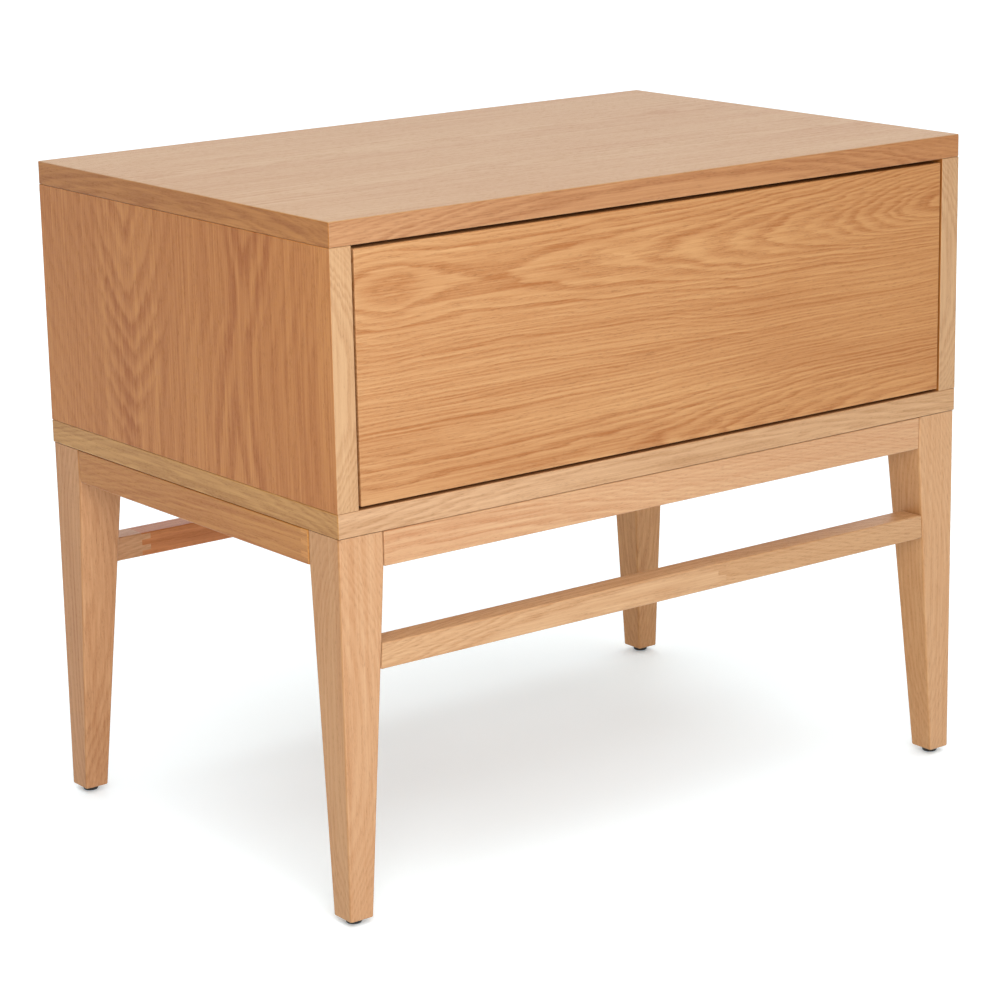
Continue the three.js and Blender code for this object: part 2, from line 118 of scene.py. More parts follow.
floor_half = 14
floor_mesh = bpy.data.meshes.new("studio_floor")
floor_mesh.from_pydata(
    [(-floor_half, -floor_half, 0), (floor_half, -floor_half, 0),
     (floor_half, floor_half, 0), (-floor_half, floor_half, 0)], [], [(0, 1, 2, 3)])
floor = bpy.data.objects.new("studio_floor", floor_mesh)
scene.collection.objects.link(floor)
floor_paint = bpy.data.materials.new("studio_floor")
floor_paint.use_nodes = True
floor_shader = floor_paint.node_tree.nodes["Principled BSDF"]
floor_shader.inputs["Base Color"].default_value = (0.8, 0.87, 0.91, 1)
floor_shader.inputs["Roughness"].default_value = 0.6
floor_shader.inputs["Specular IOR Level"].default_value = 0.2
floor_shader.inputs["Emission Color"].default_value = (0.78, 0.91, 1.0, 1)
floor_shader.inputs["Emission Strength"].default_value = 0.28
floor_mesh.materials.append(floor_paint)

# ---- Top board ----
# An 18 mm board with oak veneer laid along its length and a strip of oak glued on each edge. It lies
# over the side boards. All its arrises are eased by hand sanding, so it meets them in a small notch.


MM = 0.001


class Finish:
    """One material that is built up from shader nodes."""

    def __init__(self, name):
        self.material = bpy.data.materials.new(name)
        self.material.use_nodes = True
        self.tree = self.material.node_tree
        self.shader = self.tree.nodes["Principled BSDF"]

    def feed(self, socket, source):
        if isinstance(source, bpy.types.NodeSocket):
            self.tree.links.new(source, socket)
        else:
            socket.default_value = source

    def node(self, kind, inputs, output=0, **settings):
        made = self.tree.nodes.new("ShaderNode" + kind)
        for key, value in settings.items():
            setattr(made, key, value)
        for key, source in inputs.items():
            self.feed(made.inputs[key], source)
        return made.outputs[output]

    def math(self, operation, a, b=0.0, c=0.0):
        return self.node("Math", {0: a, 1: b, 2: c}, operation=operation)

    def plus(self, a, b):
        return self.math("ADD", a, b)

    def minus(self, a, b):
        return self.math("SUBTRACT", a, b)

    def times(self, a, b, more=None):
        """a times b, and then more added to it where more is given."""
        return self.math("MULTIPLY", a, b) if more is None else self.math("MULTIPLY_ADD", a, b, more)

    def moved(self, vector, step):
        return self.node("VectorMath", {0: vector, 1: step}, operation="ADD")

    def scaled(self, vector, sizes):
        return self.node("VectorMath", {0: vector, 1: sizes}, operation="MULTIPLY")

    def place(self, start=None):
        """The spot on the piece, in millimetres, measured from start or else from the table's origin."""
        spot = self.node("TexCoord", {}, "Object")
        if start is not None:
            spot = self.moved(spot, [-value for value in start])
        return self.scaled(spot, (1000, 1000, 1000))

    def split(self, vector):
        """The vector's three parts, as a dictionary by axis."""
        parts = self.tree.nodes.new("ShaderNodeSeparateXYZ")
        self.feed(parts.inputs[0], vector)
        return dict(zip("XYZ", parts.outputs))

    def noise(self, vector, detail=2.0, rough=0.5):
        return self.node("TexNoise", {"Vector": vector, "Scale": 1.0, "Detail": detail, "Roughness": rough})

    def ramp(self, source, stops):
        made = self.tree.nodes.new("ShaderNodeValToRGB")
        made.color_ramp.interpolation = "EASE"
        elements = made.color_ramp.elements
        while len(elements) < len(stops):
            elements.new(0.5)
        for element, (position, value) in zip(elements, stops):
            element.position = position
            element.color = (value, value, value, 1)
        self.feed(made.inputs[0], source)
        return made.outputs[0]

    def above(self, source, low, high):
        """0 below low and 1 above high."""
        return self.ramp(source, [(0.0, 0.0), (low, 0.0), (high, 1.0), (1.0, 1.0)])

    def blend(self, share, first, second, mode="MIX"):
        made = self.tree.nodes.new("ShaderNodeMix")
        made.data_type, made.blend_type = "RGBA", mode
        for socket, source in ((made.inputs[0], share), (made.inputs[6], first), (made.inputs[7], second)):
            self.feed(socket, source)
        return made.outputs[2]

    def curve(self, source, points):
        made = self.tree.nodes.new("ShaderNodeFloatCurve")
        line = made.mapping.curves[0]
        line.points[0].location, line.points[1].location = points[0], points[-1]
        for place in points[1:-1]:
            line.points.new(*place)
        made.mapping.update()
        self.feed(made.inputs["Value"], source)
        return made.outputs[0]

    def surface(self, colour, rough, height, strength, depth, shine=0.5, metal=0.0):
        """Gives the shader its colour, roughness and relief, and hands back the material."""
        bump = self.node("Bump", {"Strength": strength, "Distance": depth, "Height": height})
        for socket, source in (("Base Color", colour), ("Roughness", rough), ("Normal", bump),
                               ("Specular IOR Level", shine), ("Metallic", metal)):
            self.feed(self.shader.inputs[socket], source)
        return self.material


def paint(red, green, blue):
    """A colour given as it looks on a swatch, from 0 to 255, as the shader needs it."""
    def straight(value):
        value /= 255
        return value / 12.92 if value <= 0.04045 else ((value + 0.055) / 1.055) ** 2.4
    return (straight(red), straight(green), straight(blue), 1)


def oak(name, grain, across, pith_lines, light, dark, start=(0, 0, 0), length=600.0, year=2.2, figure=0.6,
        quiet=0.6, streaks=0.6, wave=0.8, teeth=0.8, arch=2.0, slow=2.0, seed=0.0, painted_falloff=None, staves_and_shade=()):
    """Oak as it is cut from a log. A pith line is a list of (along, across, below) points, in
    millimetres from start: it is where the middle of the trunk runs under the face. The years' rings
    wrap round it, so they show as arches where it rises or falls and as straight lines beside it,
    where they are as plain as quiet says. An arch of 2 is round, and one of 1.5 is pointed. Slow is
    how unevenly the tree grew. Painted falloff is painted light and shade: the tint at the near and
    the far end of the board, which darkens and warms it along its length as the light falls off.
    Staves and shade are the (place along, tint) of the short lengths that a bar is glued up from;
    a tint there may also be a painted shade."""
    w = Finish(name)
    depth = ({"X", "Y", "Z"} - {grain, across}).pop()
    parts = w.split(w.place(start))
    along, side, down = (parts[axis] for axis in (grain, across, depth))

    tone = None
    if staves_and_shade:
        # Finger joints: the line between two staves steps to and fro across the bar.
        finger_pitch, finger_reach = 9, 4.0
        finger = w.math("SIGN", w.math("SINE", w.times(side, 2 * math.pi / finger_pitch)))
        stepped = w.times(finger, finger_reach, along)
        count, tone = 0.0, (*staves_and_shade[0][1], 1)
        for edge, shade in staves_and_shade[1:]:
            past = w.math("GREATER_THAN", stepped, edge)
            count = w.plus(count, past)
            tone = w.blend(past, tone, (*shade, 1))
        # Each stave comes from another part of the tree, so its grain starts somewhere else.
        along = w.times(count, 237.0, along)
        side = w.times(count, 7.3, side)
    log = w.node("CombineXYZ", {0: along, 1: side, 2: down})
    log = w.moved(log, (seed * 713.0, seed * 91.0, seed * 57.0))

    def uneven(along_size, across_size, swing, detail=1.0):
        """Soft noise from about -swing to swing, drawn out along the grain."""
        spread = w.noise(w.scaled(log, (1 / along_size, 1 / across_size, 1 / across_size)), detail)
        return w.times(w.minus(spread, 0.5), swing * 3.2)

    # The trunk bends a little, and each ring is uneven, which shows as teeth where an arch turns.
    bend = w.plus(uneven(260, 45, 3.5), uneven(60, 11, wave))
    ragged = w.plus(uneven(50, 6.0, teeth), uneven(26, 1.8, teeth * 0.45))
    share_along = w.math("DIVIDE", along, length)
    radius = nearness = None
    for line in pith_lines:
        spots = [[value / length for value in spot] for spot in line]
        centre = w.times(w.curve(share_along, [(a, c) for a, c, _ in spots]), length)
        below = w.times(w.curve(share_along, [(a, h) for a, _, h in spots]), length)
        below = w.plus(below, w.times(down, 0.5))
        off = w.math("ABSOLUTE", w.plus(w.minus(side, centre), bend))
        bow = w.plus(w.math("POWER", off, arch), w.math("POWER", w.math("ABSOLUTE", below), arch))
        reach = w.math("POWER", bow, 1 / arch)
        near = w.ramp(w.math("DIVIDE", off, 100.0), [(0.0, 1.0), (0.26, 1.0), (0.5, 0.0), (1.0, 0.0)])
        radius = reach if radius is None else w.math("SMOOTH_MIN", radius, reach, 5.0)
        nearness = near if nearness is None else w.math("MAXIMUM", nearness, near)
    radius = w.plus(radius, ragged)

    # Each year starts with a line of open pores and closes with dense, paler wood. Years differ.
    slow_years = w.node("CombineXYZ", {0: w.math("DIVIDE", radius, 2.7 * year), 1: seed * 3.1})
    turns = w.plus(w.math("DIVIDE", radius, year), w.times(w.noise(slow_years), slow))
    number = w.math("FLOOR", turns)
    season = w.minus(turns, number)
    open_wood = w.ramp(season, [(0.0, 0.5), (0.14, 1.0), (0.4, 0.72), (0.7, 0.12), (0.86, 0.0), (1.0, 0.5)])
    strength = w.node("TexWhiteNoise", {"W": number}, 0, noise_dimensions="1D")
    broken = w.plus(uneven(24, 1.2, 0.35), w.times(strength, 0.6, 0.4))
    rings = w.times(open_wood, broken)
    rings = w.times(w.minus(rings, 0.3), figure)
    rings = w.times(rings, w.times(nearness, 1.0 - quiet, quiet))

    fibre = w.plus(uneven(170, 1.7, 0.4), uneven(50, 0.6, 0.3))
    broad = w.plus(uneven(260, 30, 0.3), uneven(320, 5.0, 0.3))
    share = w.times(w.plus(fibre, broad), streaks)
    share = w.node("Clamp", {"Value": w.plus(w.plus(rings, share), 0.42)})
    colour = w.blend(share, light, dark)

    # Pores are fine dark scratches with the grain, and rays are thin paler flecks.
    pore_noise = w.noise(w.scaled(log, (1 / 4.5, 1 / 0.34, 1 / 0.34)), 1.0, 0.4)
    pores = w.above(pore_noise, 0.55, 0.68)
    pores = w.times(pores, w.times(open_wood, 0.8, 0.2))
    rays = w.above(w.noise(w.scaled(log, (1 / 5.0, 1 / 0.6, 1 / 1.8)), 0.0), 0.64, 0.74)
    colour = w.blend(w.times(pores, 0.34), colour, [value * 0.4 for value in dark[:3]] + [1])
    colour = w.blend(w.times(rays, 0.15), colour, light)
    if tone is not None:
        colour = w.blend(1.0, colour, tone, "MULTIPLY")
    # Painted light and shade: the colour runs from the near end's tint to the far end's, for the light
    # falling off along the board.
    if painted_falloff:
        near_end, far_end = ((*tint, 1) for tint in painted_falloff)
        colour = w.blend(1.0, colour, w.blend(share_along, near_end, far_end), "MULTIPLY")

    # A satin lacquer lies over the wood and sinks a little into the pores.
    rough = w.times(pores, 0.2, w.times(share, 0.08, 0.36))
    relief = w.minus(w.times(fibre, 0.25), pores)
    return w.surface(colour, rough, relief, 0.2, 0.3 * MM, shine=0.3)


def to_mesh(name, solid, materials, rounded=(), pick=None):
    """Makes an object from the bmesh; rounded faces are shaded smooth, and pick gives each face's
    material by its number in the list."""
    for face in solid.faces:
        face.smooth = False
    for face in rounded:
        if face.is_valid:
            face.smooth = True
    bmesh.ops.recalc_face_normals(solid, faces=solid.faces[:])
    if pick:
        for face in solid.faces:
            face.material_index = pick(face)
    mesh = bpy.data.meshes.new(name)
    solid.to_mesh(mesh)
    solid.free()
    for material in materials:
        mesh.materials.append(material)
    made = bpy.data.objects.new(name, mesh)
    scene.collection.objects.link(made)
    return made


def by_side(face):
    """0, 1 or 2 for a face that looks mostly along X, Y or Z."""
    sizes = [abs(value) for value in face.normal]
    return sizes.index(max(sizes))


def new_block(low, high):
    solid = bmesh.new()
    bmesh.ops.create_cube(solid, size=1)
    for corner in solid.verts:
        corner.co = Vector([l + (h - l) * (c + 0.5) for l, h, c in zip(low, high, corner.co)])
    return solid


def running(solid, axis):
    """The edges that run along the axis, by its number."""
    return [e for e in solid.edges if abs((e.verts[0].co - e.verts[1].co)[axis]) > MM]


def ease(solid, radius, edges=None, steps=3):
    """Rounds over the edges and returns the new faces."""
    made = bmesh.ops.bevel(
        solid, geom=edges or solid.edges[:], offset=radius, offset_type="OFFSET",
        segments=steps, profile=0.5, affect="EDGES")
    return made["faces"]


def board(name, low, high, easing, skins):
    """A veneered board: skins are the materials of its X, Y and Z faces."""
    solid = new_block(low, high)
    rounded = ease(solid, easing)
    return to_mesh(name, solid, skins, rounded, by_side)


def fit(piece, body, slot, *nodes):
    """The piece stands for these nodes and moves with the body; the slot is not used."""
    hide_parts(*nodes)
    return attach(piece, body)


low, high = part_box("top_panel")
top_veneer = oak(
    "oak_top_veneer", "X", "Y",
    [[(0, 118, 40), (200, 121, 36), (400, 116, 33), (600, 112, 38)],
     [(0, 262, 30), (180, 258, 36), (380, 262, 34), (600, 268, 28)]],
    paint(181, 144, 99), paint(166, 118, 75), start=low, figure=0.4, seed=1)
# The front strip is painted paler and cooler at its left end and darker and warmer at its right: painted
# shade for the light falling off to the right.
top_strip_x = oak(
    "oak_top_front_strip", "X", "Z", [[(0, -30, 60), (300, -28, 58), (600, -32, 60)]],
    paint(184, 132, 88), paint(154, 97, 56), start=low, year=1.8, seed=2,
    painted_falloff=((1.0, 1.08, 1.22), (0.94, 0.87, 0.73)))
top_strip_y = oak(
    "oak_top_end_strip", "Y", "Z", [[(0, -26, 60), (200, -28, 61), (400, -25, 60)]],
    paint(173, 114, 52), paint(143, 84, 33), start=low, length=400, year=1.8, seed=3)
board_easing = 0.9 * MM
top_board = board("oak_top", low, high, board_easing, [top_strip_y, top_strip_x, top_veneer])
fit(top_board, "carcass", "oak_veneer", "top_panel")
box_boards = [top_board]

# ---- Side boards ----
# 18 mm boards with the veneer standing upright, so that arches of grain rise on the outer faces.
# Their front edges carry a paler upright strip. They are glued tight between the other two boards.
side_easing = 0.5 * MM
GLUE_LINE = 0.28 * MM
side_arches = {
    "left": [[(0, 262, 158), (60, 263, 112), (120, 266, 70), (186, 270, 34)],
             [(0, 124, 22), (70, 124, 33), (100, 120, 37), (125, 110, 37), (186, 103, 22)]],
    "right": [[(0, 96, 30), (90, 99, 84), (186, 96, 150)],
              [(0, 262, 24), (80, 258, 38), (186, 262, 30)]],
}
for number, (side, arches) in enumerate(side_arches.items()):
    low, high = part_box(side + "_side_panel")
    low.z -= GLUE_LINE
    high.z += GLUE_LINE
    veneer = oak(
        "oak_side_veneer_" + side, "Z", "Y", arches, paint(184, 121, 58), paint(151, 83, 25),
        start=low, length=400, year=15.0, figure=0.58, quiet=0.3, streaks=0.75, slow=0.5,
        teeth=3.4, wave=1.6, arch=1.2, seed=4 + number)
    strip = oak(
        "oak_side_strip_" + side, "Z", "X", [[(0, -40, 60), (90, -39, 61), (186, -41, 60)]],
        paint(194, 155, 115), paint(171, 126, 86), start=low, length=400, seed=6 + number)
    side_board = board("oak_side_" + side, low, high, side_easing, [veneer, strip, strip])
    fit(side_board, "carcass", "oak_veneer", side + "_side_panel")
    box_boards.append(side_board)

# ---- Bottom board ----
# The same board again, with pale strips on its edges. The sides stand on it, and the leg frame is
# screwed up against it from below.
low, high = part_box("bottom_panel")
# The bottom's front strip is painted a little paler and cooler at its left end and darker at its right:
# painted shade for the light falling off to the right.
bottom_strip_x = oak(
    "oak_bottom_front_strip", "X", "Z", [[(0, -34, 62), (300, -31, 65), (600, -33, 62)]],
    paint(199, 158, 118), paint(169, 125, 83), start=low, year=2.0, seed=8,
    painted_falloff=((1.0, 1.01, 1.08), (0.97, 0.95, 0.92)))
bottom_strip_y = oak(
    "oak_bottom_end_strip", "Y", "Z", [[(0, -30, 60), (200, -28, 62), (400, -31, 60)]],
    paint(184, 136, 75), paint(152, 101, 49), start=low, length=400, year=2.0, seed=9)
bottom_veneer = oak(
    "oak_bottom_veneer", "X", "Y", [[(0, 150, 30), (250, 146, 38), (600, 152, 28)]],
    paint(181, 133, 88), paint(160, 106, 62), start=low, figure=0.5, seed=10)
bottom_board = board("oak_bottom", low, high, board_easing, [bottom_strip_y, bottom_strip_x, bottom_veneer])
fit(bottom_board, "carcass", "oak_veneer", "bottom_panel")
box_boards.append(bottom_board)

# ---- Back panel ----
# A thin veneered board that stands in grooves all round, set in from the rear edges. The grooves are
# routed in the four boards of the box before they are glued up.


def cut_away(piece, *tools):
    """Saws or drills the tools' shapes out of the piece, and clears the tools away."""
    for tool in tools:
        cutter = piece.modifiers.new("cut", "BOOLEAN")
        cutter.operation, cutter.solver, cutter.object = "DIFFERENCE", "EXACT", tool
    bpy.context.view_layer.update()
    carved = bpy.data.meshes.new_from_object(piece.evaluated_get(bpy.context.evaluated_depsgraph_get()))
    piece.modifiers.clear()
    piece.data = carved
    for tool in tools:
        bpy.data.objects.remove(tool)


low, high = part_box("back_panel")
GROOVE_AIR = Vector((0.3, 0.3, 0.3)) * MM
PANEL_EASING = 0.4 * MM
for box_board in box_boards:
    router = to_mesh("router", new_block(low - GROOVE_AIR, high + GROOVE_AIR), [])
    cut_away(box_board, router)
back_veneer = oak(
    "oak_back_veneer", "X", "Z", [[(0, 90, 26), (280, 94, 36), (600, 88, 22)]],
    paint(183, 131, 85), paint(157, 99, 55), start=low, figure=0.6, seed=11)
back_board = board("oak_back", low, high, PANEL_EASING, [back_veneer] * 3)
fit(back_board, "carcass", "oak_veneer", "back_panel")

# ---- Legs ----
# Solid oak, square at the head. The two outer faces are upright; the two inner faces are sawn to a
# taper from the rail down to the foot. The long arrises are rounded over by about two millimetres.
# The faces to the sides are sawn along the rays, and are painted darker and warmer than the front and back
# faces: painted shade.
APRON_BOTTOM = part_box("front_apron")[0].z
leg_tones = {
    "front_left": (paint(198, 155, 116), paint(176, 124, 82)),
    "front_right": (paint(203, 160, 120), paint(181, 130, 84)),
    "back_left": (paint(197, 148, 106), paint(166, 112, 70)),
    "back_right": (paint(204, 156, 106), paint(172, 116, 70)),
}
# Painted shade: the tint that darkens and warms the legs' faces that look to the sides.
PAINTED_SIDE_SHADE = (0.9, 0.84, 0.7)


def ways(corner):
    """-1 for the left and 1 for the right, and -1 for the front and 1 for the back."""
    return -1 if "left" in corner else 1, -1 if "front" in corner else 1


def leg_solid(low, high, side, end, foot_width, foot_depth):
    """Three levels of four corners: the foot, the start of the taper and the head."""
    head_width, head_depth = high.x - low.x, high.y - low.y
    outer = Vector((low.x if side < 0 else high.x, low.y if end < 0 else high.y))
    levels = [(low.z, foot_width, foot_depth), (APRON_BOTTOM, head_width, head_depth),
              (high.z, head_width, head_depth)]
    solid = bmesh.new()
    loops = []
    for z, wide, deep in levels:
        corners = [(0, 0), (1, 0), (1, 1), (0, 1)]
        loops.append([solid.verts.new((outer.x - side * wide * i, outer.y - end * deep * j, z))
                      for i, j in corners])
    solid.faces.new(loops[0])
    solid.faces.new(loops[-1])
    for lower, upper in zip(loops, loops[1:]):
        for i in range(4):
            j = (i + 1) % 4
            solid.faces.new((lower[i], lower[j], upper[j], upper[i]))
    bmesh.ops.recalc_face_normals(solid, faces=solid.faces[:])
    return solid


LEG_ROUND, FOOT_ROUND = 1.8 * MM, 1.2 * MM
FOOT_WIDTH, FOOT_DEPTH = 20 * MM, 22 * MM
for number, (corner, (light, dark)) in enumerate(leg_tones.items()):
    node = corner + "_leg"
    low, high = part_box(node)
    solid = leg_solid(low, high, *ways(corner), FOOT_WIDTH, FOOT_DEPTH)
    rounded = ease(solid, LEG_ROUND, running(solid, 2), 4)
    foot = [e for e in solid.edges if all(v.co.z < low.z + 0.1 * MM for v in e.verts)]
    rounded += ease(solid, FOOT_ROUND, foot, 2)
    # The pith lies well outside the leg, so its grain runs straight up.
    pith = 6 * number - 46
    woods = []
    for face_name, tint in (("painted_side_shade", PAINTED_SIDE_SHADE), ("plain", (1, 1, 1))):
        shades = [tuple(value * share for value, share in zip(tone, tint)) + (1,) for tone in (light, dark)]
        woods.append(oak(
            "oak_leg_" + corner + "_" + face_name, "Z", "X",
            [[(0, pith, 60), (150, pith + 1, 61), (284, pith - 1, 60)]],
            *shades, start=low, year=2.5, figure=0.42, seed=12 + number))
    leg = to_mesh("leg_" + corner, solid, woods, rounded, lambda face: 0 if by_side(face) == 0 else 1)
    fit(leg, "carcass", "solid_oak", node)

# ---- Glides ----
# A round black glide under each foot, moulded in plastic round the head of a nail that is hammered
# into the end grain. Its rim is scuffed where it slides on the floor.


def turned(rings, foot, towards, sides=32, solid=None):
    """Adds a turned shape to the solid. Rings are (radius, distance from the foot) pairs along the
    direction; a radius of 0 closes an end. Gives back the solid and the ring that comes first."""
    solid = solid or bmesh.new()
    turn = Vector(towards).to_track_quat("Z", "X")
    loops = []
    for radius, along in rings:
        angles = [2 * math.pi * i / sides for i in range(sides)] if radius else [0.0]
        loops.append([solid.verts.new(Vector(foot) + turn @ Vector(
            (radius * math.cos(a), radius * math.sin(a), along))) for a in angles])
    for lower, upper in zip(loops, loops[1:]):
        for i in range(sides):
            j = (i + 1) % sides
            corners = [ring[k % len(ring)] for ring, k in ((lower, i), (lower, j), (upper, j), (upper, i))]
            solid.faces.new(list(dict.fromkeys(corners)))
    return solid, loops[0]


def shade_round(piece, crease=35):
    """Shades the piece smooth, apart from edges that are sharper than the crease in degrees."""
    for face in piece.data.polygons:
        face.use_smooth = True
    piece.data.set_sharp_from_angle(angle=math.radians(crease))
    return piece


def moulded(name, colour, rough, scuff):
    """Moulded plastic with a fine spark-eroded grain, and paler scuffs where scuff says."""
    w = Finish(name)
    place = w.place()
    grain = w.noise(w.scaled(place, (3.5, 3.5, 3.5)), 3.0, 0.6)
    rubs = w.above(w.noise(w.scaled(place, (0.5, 1.9, 1.1)), 4.0, 0.7), 0.52, 0.7)
    rubs = w.times(rubs, scuff)
    paler = tuple(value * 0.55 + 0.09 for value in colour[:3]) + (1,)
    rough = w.times(rubs, 0.2, w.times(grain, 0.12, rough))
    return w.surface(w.blend(rubs, colour, paler), rough, grain, 0.3, 0.1 * MM)


glide_plastic = moulded("glide_plastic", (0.013, 0.012, 0.011, 1), 0.42, 0.5)
nail, nail_point = 1.5 * MM, 2.0 * MM
plate = 4 * MM
for corner in leg_tones:
    node = "glide_" + corner
    low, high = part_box(node)
    rim = (high.x - low.x) / 2
    disc = [(0, 0.25 * MM), (0.3 * rim, 0.2 * MM), (0.55 * rim, 0), (0.78 * rim, 0), (0.9 * rim, 0.25 * MM),
            (0.98 * rim, 0.8 * MM), (rim, 1.5 * MM), (rim, plate - 0.6 * MM), (0.94 * rim, plate),
            (nail, plate)]
    spike = [(nail, high.z - low.z - nail_point), (0, high.z - low.z)]
    solid, _ = turned(disc + spike, ((low.x + high.x) / 2, (low.y + high.y) / 2, low.z), (0, 0, 1), 40)
    fit(shade_round(to_mesh(node + "_disc", solid, [glide_plastic])), "carcass", "black_plastic", node)

# ---- Aprons and stretchers ----
# Oak bars glued up from finger-jointed staves, tenoned into the legs: four aprons close under the
# box, and two stretchers, one in front and one behind.
AS_IS = (1.0, 1.0, 1.0)
# Grain and width of the bar, its light and dark wood, and where each stave or band of painted shade starts
# and its tint.
bars = {
    "front_apron": ("X", "Z", paint(204, 163, 123), paint(181, 127, 87),
                    [(0, (1.04, 1.06, 1.1)), (8, AS_IS)]),
    "back_apron": ("X", "Z", paint(199, 148, 103), paint(174, 116, 70),
                   [(0, AS_IS), (190, (0.9, 0.89, 0.86))]),
    # The left apron is paler and bluer over its first 19 mm, of which the last 5 mm show beside the front
    # left leg.
    "left_apron": ("Y", "Z", paint(180, 123, 58), paint(156, 92, 39),
                   [(0, (1.22, 1.3, 1.5)), (19, AS_IS)]),
    "right_apron": ("Y", "Z", paint(182, 128, 75), paint(158, 100, 53),
                    [(0, AS_IS), (150, (0.94, 0.93, 0.9))]),
    # Painted shade: the front stretcher is darker and warmer from 330 mm on, for the light falling off to
    # the right.
    "front_stretcher": ("X", "Z", paint(203, 163, 123), paint(176, 129, 87),
                        [(0, AS_IS), (330, (0.93, 0.89, 0.83))]),
    "back_stretcher": ("X", "Z", paint(192, 143, 98), paint(165, 112, 68),
                       [(0, (1.08, 1.14, 1.3)), (44, (1.08, 0.8, 0.6)),
                        (138, (0.99, 0.97, 0.94)), (380, (0.92, 0.9, 0.88))]),
}
APRON_TENON, STRETCHER_TENON = 14 * MM, 12 * MM
BAR_ROUND = 1.0 * MM
TAPER_SLOPE = 0.0785
for number, (node, (grain, across, light, dark, staves_and_shade)) in enumerate(bars.items()):
    low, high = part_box(node)
    tenon = STRETCHER_TENON if "stretcher" in node else APRON_TENON
    axis = "XYZ".index(grain)
    wood = oak(
        "oak_" + node, grain, across, [[(0, -38, 60), (260, -36, 62), (600, -39, 60)]],
        light, dark, start=low, seed=20 + number, staves_and_shade=staves_and_shade)
    # The tenons are out of sight in the legs, so the bar is made from shoulder to shoulder.
    low[axis] += tenon
    high[axis] -= tenon
    solid = new_block(low, high)
    if "stretcher" in node:
        # The ends follow the legs' taper, so the lower edge is longer than the upper one.
        for corner in solid.verts:
            if corner.co.z < (low.z + high.z) / 2:
                corner.co.x += math.copysign((high.z - low.z) * TAPER_SLOPE, corner.co.x)
    rounded = ease(solid, BAR_ROUND, None, 3)
    fit(to_mesh(node + "_bar", solid, [wood], rounded), "carcass", "solid_oak", node)

# ---- Corner blocks ----
# A three-cornered block of birch is glued into each corner of the leg frame, notched to clear the
# leg. A screw goes up through it into the bottom board and holds the frame to the box.


def birch(name, grain, across, start=(0, 0, 0), seed=0.0):
    """Birch: pale and even, with soft wavy figure, fine fibres and short brown flecks."""
    w = Finish(name)
    place = w.moved(w.place(start), (seed * 313.0, seed * 171.0, seed * 97.0))
    depth = ({"X", "Y", "Z"} - {grain, across}).pop()

    def along_grain(length, width, thick, detail=2.0):
        sizes = {grain: 1 / length, across: 1 / width, depth: 1 / thick}
        return w.noise(w.scaled(place, tuple(sizes[axis] for axis in "XYZ")), detail)

    waves = w.math("SINE", w.times(along_grain(130, 22, 22, 3.0), 34.0))
    figure = w.times(waves, 0.13, 0.4)
    figure = w.plus(figure, w.times(along_grain(60, 0.5, 0.5), 0.9, -0.45))
    figure = w.plus(figure, w.times(along_grain(210, 40, 40), 0.6, -0.3))
    colour = w.blend(w.node("Clamp", {"Value": figure}), paint(222, 196, 154), paint(199, 164, 118))
    flecks = w.above(along_grain(2.8, 0.35, 0.35, 0.0), 0.66, 0.74)
    colour = w.blend(w.times(flecks, 0.3), colour, paint(140, 98, 58))
    rough = w.times(along_grain(30, 0.8, 0.8), 0.2, 0.42)
    return w.surface(colour, rough, along_grain(14, 0.3, 0.3), 0.15, 0.3 * MM, shine=0.35)


def end_grain(name, seed=0.0):
    """Birch sawn across: darker, with faint rings and fine open pores."""
    w = Finish(name)
    place = w.place()
    from_pith = w.moved(place, (seed * 31.0 + 90.0, seed * 17.0 + 140.0, -260.0))
    radius = w.node("VectorMath", {0: from_pith}, "Value", operation="LENGTH")
    rings = w.times(w.noise(w.scaled(place, (0.05, 0.05, 0.05))), 2.0, w.times(radius, 0.45))
    rings = w.ramp(w.math("FRACT", rings), [(0.0, 1.0), (0.18, 0.25), (0.75, 0.15), (1.0, 1.0)])
    pores = w.noise(w.scaled(place, (3.2, 3.2, 3.2)), 2.0, 0.7)
    share = w.times(rings, 0.45, w.times(pores, 0.6))
    colour = w.blend(share, paint(206, 170, 122), paint(158, 115, 71))
    return w.surface(colour, 0.7, pores, 0.3, 0.2 * MM)


def prism(outline, axis, start, end):
    """A bar of one section. The outline is a list of points on the two axes that follow the bar's own."""
    solid = bmesh.new()
    ends = []
    for along in (start, end):
        corners = []
        for first, second in outline:
            point = [0.0, 0.0, 0.0]
            point[axis], point[(axis + 1) % 3], point[(axis + 2) % 3] = along, first, second
            corners.append(solid.verts.new(point))
        ends.append(corners)
        solid.faces.new(corners)
    for i in range(len(outline)):
        j = (i + 1) % len(outline)
        solid.faces.new((ends[0][i], ends[0][j], ends[1][j], ends[1][i]))
    bmesh.ops.recalc_face_normals(solid, faces=solid.faces[:])
    return solid


def steel(name, rolled, rough, bright=(0.62, 0.63, 0.65)):
    """Zinc-plated steel: fine lines in the direction that it was rolled in, and cloudy plating."""
    w = Finish(name)
    place = w.place()
    lines = w.noise(w.scaled(place, tuple(0.04 if axis == rolled else 4.0 for axis in "XYZ")), 3.0, 0.6)
    clouds = w.noise(w.scaled(place, (0.11, 0.07, 0.11)), 4.0, 0.6)
    dull = tuple(value * 0.72 for value in bright) + (1,)
    share = w.plus(w.times(lines, 0.45), w.times(clouds, 0.5))
    colour = w.blend(share, (*bright, 1), dull)
    return w.surface(colour, w.times(share, 0.3, rough), lines, 0.12, 0.1 * MM, metal=1.0)


